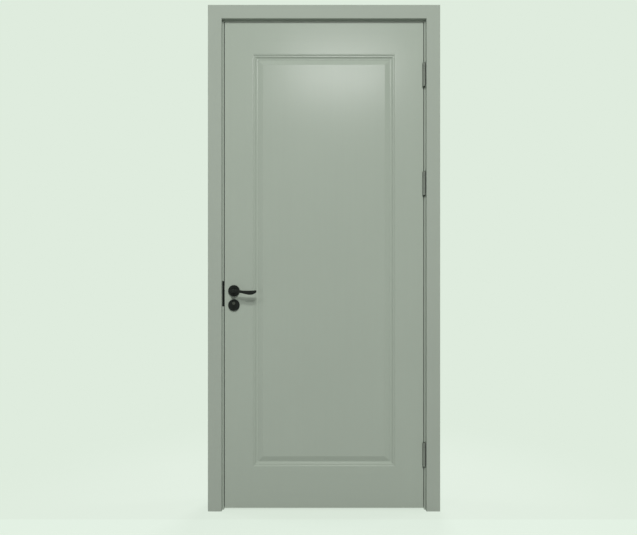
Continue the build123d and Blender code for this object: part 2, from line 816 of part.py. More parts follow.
def lever(label, face):
    """A lever on the front (-1) or the rear (1), pointing to the hinge side."""
    seat = leaf_front if face < 0 else leaf_back
    neck_start = seat + face * (rose_thickness - neck_in_rose)
    grip_start = seat + face * (lever_projection - grip_thickness)
    heel_top = (spindle_x, spindle_z + neck_radius)
    heel_back = (spindle_x - neck_radius, spindle_z)
    heel_bottom = (spindle_x, spindle_z - neck_radius)
    lower = lever_points(grip_lower_shares)
    upper = lever_points(grip_upper_shares)
    tip = lever_points([grip_tip_share])[0]
    with BuildPart() as handle:
        with BuildSketch(Plane.XZ.offset(-grip_start)):
            with BuildLine():
                ThreePointArc(heel_top, heel_back, heel_bottom)
                Spline(heel_bottom, *lower, tangents=((1, 0), grip_lower_end_share))
                ThreePointArc(lower[-1], tip, upper[0])
                Spline(*upper, heel_top, tangents=(grip_upper_start_share, (-1, 0)))
            make_face()
        extrude(amount=-face * grip_thickness)
        outer = handle.faces().sort_by(Axis.Y)[0 if face < 0 else -1]
        chamfer(outer.edges(), grip_chamfer)
        with BuildSketch(Plane.XZ.offset(-neck_start)):
            with Locations((spindle_x, spindle_z)):
                Circle(neck_radius)
        extrude(amount=neck_start - grip_start)
        with BuildSketch(Plane.XZ.offset(-neck_start)):
            with Locations((spindle_x, spindle_z)):
                Rectangle(spindle_size + 2 * spindle_fit, spindle_size + 2 * spindle_fit)
        socket = spindle_reach - rose_thickness + neck_in_rose + spindle_fit
        extrude(amount=-face * socket, mode=Mode.SUBTRACT)
    save(handle, label)


lever("front_lever", -1)
lever("rear_lever", 1)
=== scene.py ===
"""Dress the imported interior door: paint, metal, turned and cast hardware, screws, light and camera."""

import json
import logging
import math
from dataclasses import dataclass, field
from enum import Enum
from typing import Sequence, Union

import bmesh
import bpy
from mathutils import Matrix, Vector

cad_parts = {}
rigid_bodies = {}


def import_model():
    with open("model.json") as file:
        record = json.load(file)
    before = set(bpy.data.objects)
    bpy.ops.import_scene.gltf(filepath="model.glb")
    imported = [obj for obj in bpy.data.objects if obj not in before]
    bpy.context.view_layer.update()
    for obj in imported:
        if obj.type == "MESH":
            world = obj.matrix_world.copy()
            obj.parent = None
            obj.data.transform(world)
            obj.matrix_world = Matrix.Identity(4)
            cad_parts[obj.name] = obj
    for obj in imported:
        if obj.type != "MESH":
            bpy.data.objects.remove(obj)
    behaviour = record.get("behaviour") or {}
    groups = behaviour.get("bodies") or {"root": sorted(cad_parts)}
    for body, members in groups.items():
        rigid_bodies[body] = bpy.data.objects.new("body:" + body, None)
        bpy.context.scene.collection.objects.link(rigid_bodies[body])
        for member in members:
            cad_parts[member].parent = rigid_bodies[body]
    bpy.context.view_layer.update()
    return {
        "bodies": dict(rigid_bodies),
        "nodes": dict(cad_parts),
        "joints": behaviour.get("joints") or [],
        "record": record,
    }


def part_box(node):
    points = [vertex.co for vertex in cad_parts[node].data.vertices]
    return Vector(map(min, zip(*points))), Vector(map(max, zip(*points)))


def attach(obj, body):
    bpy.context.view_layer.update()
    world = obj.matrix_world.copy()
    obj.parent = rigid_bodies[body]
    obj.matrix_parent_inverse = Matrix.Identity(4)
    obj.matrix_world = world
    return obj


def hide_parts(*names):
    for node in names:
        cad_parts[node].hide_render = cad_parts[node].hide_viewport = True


LOG = logging.getLogger("door")

Colour = tuple[float, float, float]
Point = tuple[float, float, float]
Pair = tuple[float, float]
Term = Union["Wire", float]

MILLIMETRES = 1000.0
SPIN_WELD = 1e-7
COPY_WELD = 1e-6
SAME_PLANE = 1e-5
FLAT_TURN = 0.6
LEAF_MIDDLE_Y = -0.0215

# Places of the colour sockets on a Mix node.
MIX_FIRST = 6
MIX_SECOND = 7
MIX_RESULT = 2

SEEN_RAYS = ("Is Camera Ray", "Is Glossy Ray", "Is Transmission Ray")


@dataclass(frozen=True)
class Speckle:
    """One noise: its features to the metre, its octaves and the weight of the finer ones."""

    scale: float
    detail: float = 2.0
    roughness: float = 0.5


@dataclass(frozen=True)
class Relief:
    """One bump: the share of its full effect, and the height in metres that a value of 1 stands for."""

    strength: float
    distance: float


class Wire:
    """A socket of a material's node tree that takes part in Python arithmetic."""

    def __init__(self, net: "Net", socket: bpy.types.NodeSocket) -> None:
        """Keep the socket and the net that it belongs to."""
        self.net = net
        self.socket = socket

    def _math(self, operation: str, first: Term, second: Term) -> "Wire":
        """Add one Math node for an operation on two terms."""
        return self.net.add("ShaderNodeMath", {"operation": operation}, {0: first, 1: second})

    def __add__(self, other: Term) -> "Wire":
        """The sum of two terms."""
        return self._math("ADD", self, other)

    def __radd__(self, other: Term) -> "Wire":
        """The sum, with the number first."""
        return self._math("ADD", other, self)

    def __rsub__(self, other: Term) -> "Wire":
        """The difference, with the number first."""
        return self._math("SUBTRACT", other, self)

    def __mul__(self, other: Term) -> "Wire":
        """The product of two terms."""
        return self._math("MULTIPLY", self, other)

    def __rmul__(self, other: Term) -> "Wire":
        """The product, with the number first."""
        return self._math("MULTIPLY", other, self)


def tone(colour: Colour, factor: float = 1.0) -> tuple[float, float, float, float]:
    """A colour with full alpha, made lighter or darker by a factor."""
    return (colour[0] * factor, colour[1] * factor, colour[2] * factor, 1.0)


class Net:
    """The node tree of one material or world, with one way to add a node."""

    def __init__(self, owner: bpy.types.Material | bpy.types.World) -> None:
        """Empty the owner's tree.

        Args:
            owner: The material or world that the tree belongs to.
        """
        owner.use_nodes = True
        self.owner = owner
        self.tree = owner.node_tree
        self.tree.nodes.clear()

    @classmethod
    def material(cls, name: str) -> "Net":
        """The empty tree of a new material."""
        return cls(bpy.data.materials.new(name))

    def add(
        self,
        kind: str,
        settings: dict[str, object] | None = None,
        inputs: dict[int | str, object] | None = None,
        output: int | str = 0,
    ) -> Wire | None:
        """Add one node.

        Args:
            kind: The node's type.
            settings: Its own settings, set first; "stops" are a colour ramp's places and greys.
            inputs: Values or wires for its sockets, by place or name.
            output: The output that the result stands for.

        Returns:
            The node's output as a wire, or None from a node that ends the tree.
        """
        node = self.tree.nodes.new(kind)
        for key, value in (settings or {}).items():
            if key == "stops":
                self._set_stops(node.color_ramp, value)
            else:
                setattr(node, key, value)
        for key, value in (inputs or {}).items():
            if isinstance(value, Wire):
                self.tree.links.new(value.socket, node.inputs[key])
            else:
                node.inputs[key].default_value = value
        return Wire(self, node.outputs[output]) if node.outputs else None

    @staticmethod
    def _set_stops(ramp: bpy.types.ColorRamp, stops: Sequence[Pair]) -> None:
        """Give a colour ramp its stops.

        Args:
            ramp: The ramp, as it is made.
            stops: A place and a grey for each stop.
        """
        while len(ramp.elements) < len(stops):
            ramp.elements.new(0.5)
        for element, (place, grey) in zip(ramp.elements, stops):
            element.position = place
            element.color = (grey, grey, grey, 1.0)

    def place(self, scale: Point = (1.0, 1.0, 1.0)) -> Wire:
        """Object coordinates, stretched by a scale for each axis."""
        raw = self.add("ShaderNodeTexCoord", output="Object")
        return self.add("ShaderNodeMapping", None, {"Vector": raw, "Scale": scale})

    def noise(self, where: Wire, speckle: Speckle) -> Wire:
        """A noise from 0 to 1 at a place.

        Args:
            where: The coordinates that it reads.
            speckle: Its settings.

        Returns:
            The noise as a wire.
        """
        sockets = {
            "Vector": where,
            "Scale": speckle.scale,
            "Detail": speckle.detail,
            "Roughness": speckle.roughness,
        }
        return self.add("ShaderNodeTexNoise", None, sockets, "Fac")

    def ramp(self, value: Wire, stops: Sequence[Pair]) -> Wire:
        """A value remapped through grey stops."""
        return self.add("ShaderNodeValToRGB", {"stops": stops}, {"Fac": value})

    def mix(self, share: Term, first: object, second: object) -> Wire:
        """A colour between two colours."""
        sockets = {"Factor": share, MIX_FIRST: first, MIX_SECOND: second}
        return self.add("ShaderNodeMix", {"data_type": "RGBA"}, sockets, MIX_RESULT)

    def drift(self, share: Wire, colour: Colour, swing: Pair) -> Wire:
        """A colour that drifts between a darker and a lighter tone of itself."""
        return self.mix(share, tone(colour, swing[0]), tone(colour, swing[1]))

    def seen(self) -> Wire:
        """One for what the camera sees, straight or in a gloss or a glass, and nothing for other light."""
        camera, gloss, glass = [self.add("ShaderNodeLightPath", output=ray) for ray in SEEN_RAYS]
        return camera + gloss + glass

    def spread(self, value: Wire, low: float, high: float, first: float, last: float) -> Wire:
        """A value spread smoothly from one range over another.

        Args:
            value: The value to spread.
            low: Where the old range starts.
            high: Where it ends.
            first: The result at its start.
            last: The result at its end.

        Returns:
            The spread value.
        """
        sockets = {"Value": value, "From Min": low, "From Max": high, "To Min": first, "To Max": last}
        return self.add("ShaderNodeMapRange", {"interpolation_type": "SMOOTHSTEP"}, sockets)

    def bump(self, height: Wire, relief: Relief, under: Wire | None = None) -> Wire:
        """A normal bent by a height.

        Args:
            height: The height map.
            relief: How strongly and how far it bends.
            under: A normal that this one bends further.

        Returns:
            The bent normal.
        """
        sockets: dict[int | str, object] = {
            "Height": height,
            "Strength": relief.strength,
            "Distance": relief.distance,
        }
        if under is not None:
            sockets["Normal"] = under
        return self.add("ShaderNodeBump", None, sockets)

    def surface(self, **sockets: object) -> bpy.types.Material:
        """Close the net with a Principled shader.

        Args:
            sockets: Values or wires for the shader; underscores in the names stand for spaces.

        Returns:
            The finished material.
        """
        named = {key.replace("_", " "): value for key, value in sockets.items()}
        shader = self.add("ShaderNodeBsdfPrincipled", None, named)
        self.add("ShaderNodeOutputMaterial", None, {"Surface": shader})
        return self.owner


LEAF_SAGE: Colour = (0.328, 0.374, 0.315)
FRAME_SAGE: Colour = (0.333, 0.377, 0.321)
# The jamb sage is the frame's sage made about a tenth lighter: painted light that offsets the shade the
# casings cast on the narrow jamb edges beside the leaf.
JAMB_SAGE_PAINTED_LIGHTER: Colour = (0.366, 0.415, 0.353)


class Grain(Enum):
    """The way the boards under the paint run."""

    UPRIGHT = (70.0, 70.0, 2.2)
    LEVEL = (2.2, 70.0, 70.0)


class Brush(Enum):
    """The way a metal is brushed."""

    ALONG_Z = (900.0, 900.0, 14.0)
    ALONG_X = (14.0, 900.0, 900.0)


@dataclass(frozen=True)
class SatinPaint:
    """Sprayed satin paint over sanded boards, with a faint trace of their grain."""

    name: str
    grain: Grain
    colour: Colour
    gloss: float
    sheen: float
    clouds: Speckle = Speckle(2.6, 3.0)
    ripple: Speckle = Speckle(1.0, 3.0, 0.55)
    peel: Speckle = Speckle(620.0, 1.5)
    dust: Speckle = Speckle(45.0, 4.0, 0.65)
    swing: Pair = (0.965, 1.035)
    grain_stops: tuple[Pair, ...] = ((0.35, 0.0), (0.75, 0.16))
    grain_shade: float = 0.93
    gloss_drop: float = 0.03
    dust_gloss: float = 0.08
    ripple_relief: Relief = Relief(0.25, 0.0002)
    peel_relief: Relief = Relief(0.10, 0.00012)

    def material(self) -> bpy.types.Material:
        """Build the paint: soft clouds, long grain ripples and a fine orange peel.

        Returns:
            The paint.
        """
        net = Net.material(self.name)
        clouds = net.noise(net.place(), self.clouds)
        ripple = net.noise(net.place(self.grain.value), self.ripple)
        peel = net.noise(net.place(), self.peel)
        dust = net.noise(net.place(), self.dust)
        shade = net.drift(clouds, self.colour, self.swing)
        shade = net.mix(net.ramp(ripple, self.grain_stops), shade, tone(self.colour, self.grain_shade))
        rough = self.gloss - self.gloss_drop + self.dust_gloss * dust
        bent = net.bump(ripple, self.ripple_relief)
        bent = net.bump(peel, self.peel_relief, bent)
        return net.surface(
            Base_Color=shade,
            Roughness=rough,
            Normal=bent,
            Specular_IOR_Level=self.sheen,
        )


@dataclass(frozen=True)
class BlackCoat:
    """A satin black coat on cast and turned metal, a little rubbed where hands pass."""

    name: str
    colour: Colour = (0.0075, 0.009, 0.0078)
    gloss: float = 0.42
    sheen: float = 0.17
    patches: Speckle = Speckle(55.0, 3.0)
    powder: Speckle = Speckle(2600.0)
    swing: Pair = (0.85, 1.25)
    patch_gloss: float = 0.12
    relief: Relief = Relief(0.18, 0.00006)

    def material(self) -> bpy.types.Material:
        """Build the coat: a fine powder grain and slightly smoother patches.

        Returns:
            The coat.
        """
        net = Net.material(self.name)
        patches = net.noise(net.place(), self.patches)
        powder = net.noise(net.place(), self.powder)
        shade = net.drift(patches, self.colour, self.swing)
        rough = self.gloss + self.patch_gloss * patches
        bent = net.bump(powder, self.relief)
        return net.surface(
            Base_Color=shade,
            Roughness=rough,
            Normal=bent,
            Specular_IOR_Level=self.sheen,
        )


@dataclass(frozen=True)
class BrushedMetal:
    """Satin metal brushed along one axis."""

    name: str
    colour: Colour
    gloss: float
    brush: Brush
    metallic: float = 1.0
    lines: Speckle = Speckle(1.0, 4.0, 0.7)
    stain: Speckle = Speckle(38.0, 3.0)
    swing: Pair = (0.82, 1.12)
    stain_stops: tuple[Pair, ...] = ((0.45, 0.0), (0.8, 0.35))
    stain_shade: float = 0.7
    gloss_drop: float = 0.06
    line_gloss: float = 0.14
    relief: Relief = Relief(0.3, 0.00005)

    def material(self) -> bpy.types.Material:
        """Build the metal: fine brush lines in colour, gloss and height.

        Returns:
            The metal.
        """
        net = Net.material(self.name)
        lines = net.noise(net.place(self.brush.value), self.lines)
        stain = net.noise(net.place(), self.stain)
        shade = net.drift(lines, self.colour, self.swing)
        shade = net.mix(net.ramp(stain, self.stain_stops), shade, tone(self.colour, self.stain_shade))
        rough = self.gloss - self.gloss_drop + self.line_gloss * lines
        bent = net.bump(lines, self.relief)
        return net.surface(Base_Color=shade, Roughness=rough, Metallic=self.metallic, Normal=bent)


@dataclass(frozen=True)
class Moulded:
    """Rubber or plastic out of a mould, with a fine matt skin."""

    name: str
    colour: Colour
    gloss: float
    skin: Speckle
    clouds: Speckle = Speckle(24.0)
    swing: Pair = (0.85, 1.15)
    cloud_gloss: float = 0.1
    relief: Relief = Relief(0.25, 0.00008)

    def material(self) -> bpy.types.Material:
        """Build the skin: faint colour clouds and a fine grain.

        Returns:
            The rubber or plastic.
        """
        net = Net.material(self.name)
        clouds = net.noise(net.place(), self.clouds)
        skin = net.noise(net.place(), self.skin)
        shade = net.drift(clouds, self.colour, self.swing)
        bent = net.bump(skin, self.relief)
        return net.surface(Base_Color=shade, Roughness=self.gloss + self.cloud_gloss * clouds, Normal=bent)


class Finishes:
    """Every finish of the door, built once."""

    def __init__(self) -> None:
        """Build the materials."""
        self.leaf_paint = self._paint("leaf", LEAF_SAGE, gloss=0.24, sheen=0.5)
        self.frame_paint = self._paint("frame", FRAME_SAGE, gloss=0.36, sheen=0.12)
        # Painted light: the jambs get a lighter sage than the casings, to offset the casings' shade on the
        # jamb edges.
        self.jamb_paint_painted_lighter = self._paint("jamb", JAMB_SAGE_PAINTED_LIGHTER, gloss=0.36, sheen=0.12)
        self.black = BlackCoat("black_coat").material()
        self.hinge = BrushedMetal(
            "hinge_satin_steel", colour=(0.24, 0.255, 0.23), gloss=0.58, brush=Brush.ALONG_Z, metallic=0.6
        ).material()
        self.pin = BrushedMetal(
            "hinge_pin_dark_steel", colour=(0.06, 0.062, 0.057), gloss=0.42, brush=Brush.ALONG_Z
        ).material()
        self.lock = BrushedMetal(
            "lock_zinc_steel", colour=(0.56, 0.56, 0.54), gloss=0.3, brush=Brush.ALONG_X
        ).material()
        self.nickel = BrushedMetal(
            "plug_satin_nickel", colour=(0.105, 0.105, 0.095), gloss=0.34, brush=Brush.ALONG_X
        ).material()
        self.dark_nickel = BrushedMetal(
            "cylinder_black_nickel", colour=(0.022, 0.023, 0.021), gloss=0.4, brush=Brush.ALONG_X
        ).material()
        self.rubber = Moulded(
            "seal_rubber_skin", colour=(0.10, 0.11, 0.10), gloss=0.62, skin=Speckle(1500.0)
        ).material()
        self.plastic = Moulded(
            "box_plastic_skin", colour=(0.02, 0.02, 0.02), gloss=0.5, skin=Speckle(1200.0)
        ).material()

    @staticmethod
    def _paint(name: str, colour: Colour, gloss: float, sheen: float) -> dict[Grain, bpy.types.Material]:
        """One paint for boards of either grain.

        Args:
            name: What the paint is on.
            colour: Its colour.
            gloss: Its roughness.
            sheen: Strength of its reflection.

        Returns:
            A material for each grain.
        """
        return {
            grain: SatinPaint(f"sage_{name}_{grain.name.lower()}", grain, colour, gloss, sheen).material()
            for grain in Grain
        }

    def for_node(self, name: str, slot: str) -> bpy.types.Material:
        """The finish of a CAD node.

        Args:
            name: The node's name.
            slot: Its slot in the record.

        Returns:
            The material that dresses it.
        """
        if slot == "paint":
            level = any(word in name for word in ("rail", "head", "top_bead", "bottom_bead"))
            paint = self.leaf_paint
            if name.endswith(("casing", "stop")):
                paint = self.frame_paint
            elif name.endswith("jamb"):
                # Jambs take the lighter sage, painted light for the shade on their edges.
                paint = self.jamb_paint_painted_lighter
            return paint[Grain.LEVEL if level else Grain.UPRIGHT]
        if name.endswith("hinge_pin"):
            return self.pin
        if name == "cylinder_body":
            return self.dark_nickel
        return {
            "black_metal": self.black,
            "hinge_steel": self.hinge,
            "lock_steel": self.lock,
            "cylinder_brass": self.nickel,
            "seal_rubber": self.rubber,
            "box_plastic": self.plastic,
        }[slot]


@dataclass
class Door:
    """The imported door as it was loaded: its nodes, their slots and bodies."""

    frame: dict
    finishes: Finishes
    slots: dict[str, str] = field(default_factory=dict)
    bodies: dict[str, str] = field(default_factory=dict)

    def __post_init__(self) -> None:
        """Read the record's slots and bodies into plain tables."""
        record = self.frame["record"]
        self.slots = {row["node"]: row["material_slot"] for row in record["subparts"]}
        for body, nodes in record["behaviour"]["bodies"].items():
            self.bodies.update({node: body for node in nodes})

    def dress_nodes(self) -> None:
        """Give every CAD node its finish."""
        for name, node in self.frame["nodes"].items():
            node.data.materials.clear()
            node.data.materials.append(self.finish(name))

    def finish(self, node: str) -> bpy.types.Material:
        """The material of a CAD node."""
        return self.finishes.for_node(node, self.slots[node])

    def carry(self, piece: bpy.types.Object, node: str) -> None:
        """Let a piece ride with a node's body."""
        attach(piece, self.bodies[node])

    def stand_for(self, piece: bpy.types.Object, node: str) -> None:
        """Let a piece ride with a node's body and show in its place."""
        self.carry(piece, node)
        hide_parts(node)


def shape_piece(
    name: str, bm: bmesh.types.BMesh, material: bpy.types.Material, sharp: float = 35.0
) -> bpy.types.Object:
    """Turn a finished bmesh into a linked object at the origin.

    Args:
        name: The piece's name.
        bm: Its shape, already in place; it is freed here.
        material: Its finish.
        sharp: Edges that turn by more than this many degrees stay sharp.

    Returns:
        The new object.
    """
    bmesh.ops.recalc_face_normals(bm, faces=bm.faces[:])
    mesh = bpy.data.meshes.new(name)
    bm.to_mesh(mesh)
    bm.free()
    mesh.materials.append(material)
    mesh.shade_smooth()
    mesh.set_sharp_from_angle(angle=math.radians(sharp))
    piece = bpy.data.objects.new(name, mesh)
    bpy.context.scene.collection.objects.link(piece)
    LOG.info("piece %s, %d faces", name, len(mesh.polygons))
    return piece


def even_normals(piece: bpy.types.Object) -> None:
    """Keep the flat faces of a bevelled piece flat in the light."""
    weighted = piece.modifiers.new("even_normals", "WEIGHTED_NORMAL")
    weighted.keep_sharp = True


def spin_profile(
    bm: bmesh.types.BMesh, profile: Sequence[Pair], matrix: Matrix, steps: int, closed: bool = True
) -> None:
    """Turn a profile round the Z axis of a matrix.

    Args:
        bm: The bmesh that the turned shape is added to.
        profile: Radii and heights in metres, in order.
        matrix: Where the axis stands.
        steps: Facets round the turn.
        closed: Whether the profile's last point joins its first.
    """
    verts = [bm.verts.new((radius, 0.0, height)) for radius, height in profile]
    pairs = list(zip(verts, verts[1:] + verts[:1])) if closed else list(zip(verts, verts[1:]))
    edges = [bm.edges.new(pair) for pair in pairs]
    turned = bmesh.ops.spin(
        bm,
        geom=verts + edges,
        cent=(0.0, 0.0, 0.0),
        axis=(0.0, 0.0, 1.0),
        dvec=(0.0, 0.0, 0.0),
        angle=2.0 * math.pi,
        steps=steps,
        use_merge=True,
    )
    ends = [item for item in turned["geom_last"] if isinstance(item, bmesh.types.BMVert)]
    linked = {vert for end in ends for vert in _island(end)}
    bmesh.ops.remove_doubles(bm, verts=list(linked), dist=SPIN_WELD)
    bmesh.ops.transform(bm, matrix=matrix, verts=[vert for vert in linked if vert.is_valid])


def _island(start: bmesh.types.BMVert) -> set[bmesh.types.BMVert]:
    """Find every vertex that edges join to a vertex.

    Args:
        start: The vertex to start from.

    Returns:
        All the vertices of its island.
    """
    found = {start}
    waiting = [start]
    while waiting:
        for edge in waiting.pop().link_edges:
            for vert in edge.verts:
                if vert not in found:
                    found.add(vert)
                    waiting.append(vert)
    return found


def round_edges(
    bm: bmesh.types.BMesh, edges: list[bmesh.types.BMEdge], width: float, segments: int
) -> None:
    """Round some edges.

    Args:
        bm: The bmesh that they belong to.
        edges: The edges.
        width: Width of the rounding in metres.
        segments: Facets across it.
    """
    bmesh.ops.bevel(
        bm,
        geom=edges,
        offset=width,
        affect="EDGES",
        segments=segments,
        profile=0.5,
        material=-1,
        clamp_overlap=True,
    )


def add_block(bm: bmesh.types.BMesh, low: Point, high: Point, ease: float) -> None:
    """Add a block between two corners, with its edges eased.

    Args:
        bm: The bmesh that it is added to.
        low: Lowest corner in metres.
        high: Highest corner.
        ease: Width of the eased edges.
    """
    centre = (Vector(low) + Vector(high)) / 2
    size = Vector(high) - Vector(low)
    matrix = Matrix.Translation(centre) @ Matrix.Diagonal((*size, 1.0))
    made = bmesh.ops.create_cube(bm, size=1.0, matrix=matrix)
    edges = list({edge for vert in made["verts"] for edge in vert.link_edges})
    round_edges(bm, edges, ease, segments=2)


@dataclass
class EasedCopy:
    """A copy of a CAD node whose sharp edges are rounded as filing, casting or paint rounds them."""

    node: str
    ease: float
    segments: int = 3
    least: float = 30.0
    rim: float = 0.0
    rim_segments: int = 5
    rim_share: float = 0.98
    slack: float = 0.0

    def build(self, door: Door) -> bpy.types.Object:
        """Copy, merge and ease the node.

        Args:
            door: The loaded door.

        Returns:
            The piece that stands for the node.
        """
        bm = bmesh.new()
        bm.from_mesh(door.frame["nodes"][self.node].data)
        bmesh.ops.remove_doubles(bm, verts=bm.verts[:], dist=COPY_WELD)
        bmesh.ops.dissolve_limit(
            bm,
            angle_limit=math.radians(FLAT_TURN),
            verts=bm.verts[:],
            edges=bm.edges[:],
            use_dissolve_boundaries=False,
        )
        if self.slack:
            self._thin(bm)
        if self.rim:
            round_edges(bm, self._rim_edges(bm), self.rim, self.rim_segments)
        round_edges(bm, self._sharp_edges(bm), self.ease, self.segments)
        piece = shape_piece(f"{self.node}_eased", bm, door.finish(self.node))
        even_normals(piece)
        door.stand_for(piece, self.node)
        return piece

    def _thin(self, bm: bmesh.types.BMesh) -> None:
        """Take the slack off both faces across the leaf, so that the piece runs free.

        Args:
            bm: The copy.
        """
        low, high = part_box(self.node)
        share = 1.0 - 2.0 * self.slack / (high.y - low.y)
        middle = Matrix.Translation(-(low + high) / 2)
        bmesh.ops.scale(bm, vec=(1.0, share, 1.0), space=middle, verts=bm.verts[:])

    def _sharp_edges(self, bm: bmesh.types.BMesh) -> list[bmesh.types.BMEdge]:
        """Edges that turn by more than the least angle."""
        least = math.radians(self.least)
        return [edge for edge in bm.edges if len(edge.link_faces) == 2 and edge.calc_face_angle() > least]

    def _rim_edges(self, bm: bmesh.types.BMesh) -> list[bmesh.types.BMEdge]:
        """Find the sharp edges on the outline of the face that shows.

        Args:
            bm: The copy.

        Returns:
            The edges of the rim.
        """
        low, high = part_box(self.node)
        centre = (low + high) / 2
        inside = self.rim_share * (high.x - low.x) / 2
        outer = low.y if centre.y < LEAF_MIDDLE_Y else high.y

        def on_rim(vert: bmesh.types.BMVert) -> bool:
            """Whether a vertex lies on the rim."""
            away = math.hypot(vert.co.x - centre.x, vert.co.z - centre.z)
            return abs(vert.co.y - outer) < SAME_PLANE and away > inside

        return [edge for edge in self._sharp_edges(bm) if all(on_rim(vert) for vert in edge.verts)]


@dataclass(frozen=True)
class Station:
    """One cross-section of a lever: its place, heading and half sizes, in millimetres and degrees."""

    along: float
    out: float
    up: float
    heading: float
    half_depth: float
    half_height: float


# Distance out from the leaf and half size of the round neck, in millimetres.
NECK = ((3.0, 9.0), (8.6, 9.0), (10.4, 8.9), (14.0, 8.1), (28.0, 8.0), (36.0, 8.2))

# Heading in degrees, half depth and half height through the elbow.
ELBOW = ((22.5, 8.1, 8.2), (45.0, 7.7, 8.0), (67.5, 7.0, 7.6), (90.0, 6.2, 7.0))

# Distance along from the axis, rise, half depth and half height of the waved grip.
GRIP = (
    (20.0, -0.4, 6.1, 6.3),
    (28.0, -1.1, 6.0, 5.5),
    (40.0, -2.9, 6.0, 5.8),
    (52.0, -4.7, 6.2, 7.1),
    (62.0, -5.9, 6.2, 8.3),
    (71.0, -6.3, 6.2, 8.8),
    (79.0, -6.0, 6.2, 8.7),
    (86.0, -4.9, 6.0, 8.0),
    (91.0, -3.6, 5.8, 7.1),
    (95.0, -2.2, 5.4, 6.0),
    (97.6, -1.2, 4.8, 5.0),
    (99.2, -0.6, 3.6, 3.6),
    (99.6, -0.4, 1.8, 1.8),
)
GRIP_HEADING = 90.0


@dataclass
class Lever:
    """A cast lever: a round neck, an elbow and a waved grip that turns up at its tip."""

    node: str
    face: float
    seat: float
    axis_x: float
    axis_z: float
    elbow_radius: float = 14.5
    elbow_start: float = 36.0
    sides: int = 16
    swell: float = 1.024
    subdivisions: int = 2

    def stations(self) -> list[Station]:
        """Set out the cross-sections.

        Returns:
            The cross-sections from the rose to the tip.
        """
        found = [Station(0.0, out, 0.0, 0.0, half, half) for out, half in NECK]
        for heading, depth, height in ELBOW:
            turn = math.radians(heading)
            along = self.elbow_radius * (1.0 - math.cos(turn))
            out = self.elbow_start + self.elbow_radius * math.sin(turn)
            found.append(Station(along, out, 0.0, heading, depth, height))
        middle = self.elbow_start + self.elbow_radius
        for along, up, depth, height in GRIP:
            found.append(Station(along, middle, up, GRIP_HEADING, depth, height))
        return found

    def build(self, door: Door) -> bpy.types.Object:
        """Join the cross-sections into one smooth casting.

        Args:
            door: The loaded door.

        Returns:
            The lever.
        """
        bm = bmesh.new()
        rings = [self._ring(bm, station) for station in self.stations()]
        for first, second in zip(rings, rings[1:]):
            bmesh.ops.bridge_loops(bm, edges=first + second)
        for ring in (rings[0], rings[-1]):
            bmesh.ops.edgeloop_fill(bm, edges=ring)
        piece = shape_piece(f"{self.node}_cast", bm, door.finish(self.node), sharp=180.0)
        smooth = piece.modifiers.new("smooth_casting", "SUBSURF")
        smooth.levels = self.subdivisions
        smooth.render_levels = self.subdivisions
        door.stand_for(piece, self.node)
        return piece

    def _ring(self, bm: bmesh.types.BMesh, station: Station) -> list[bmesh.types.BMEdge]:
        """Add one cross-section.

        Args:
            bm: The bmesh that it is added to.
            station: Its place and size.

        Returns:
            Its edges.
        """
        turn = math.radians(station.heading)
        side = Vector((-math.cos(turn), self.face * math.sin(turn), 0.0))
        ahead = Vector((math.sin(turn), self.face * math.cos(turn), 0.0))
        centre = Vector(
            (
                self.axis_x + station.along / MILLIMETRES,
                self.seat + self.face * station.out / MILLIMETRES,
                self.axis_z + station.up / MILLIMETRES,
            )
        )
        turned = Matrix((side, Vector((0.0, 0.0, 1.0)), ahead)).transposed().to_4x4()
        half_depth = station.half_depth * self.swell / MILLIMETRES
        half_height = station.half_height * self.swell / MILLIMETRES
        matrix = Matrix.Translation(centre) @ turned @ Matrix.Diagonal((half_depth, half_height, 1.0, 1.0))
        made = bmesh.ops.create_circle(bm, cap_ends=False, radius=1.0, segments=self.sides, matrix=matrix)
        return list({edge for vert in made["verts"] for edge in vert.link_edges})


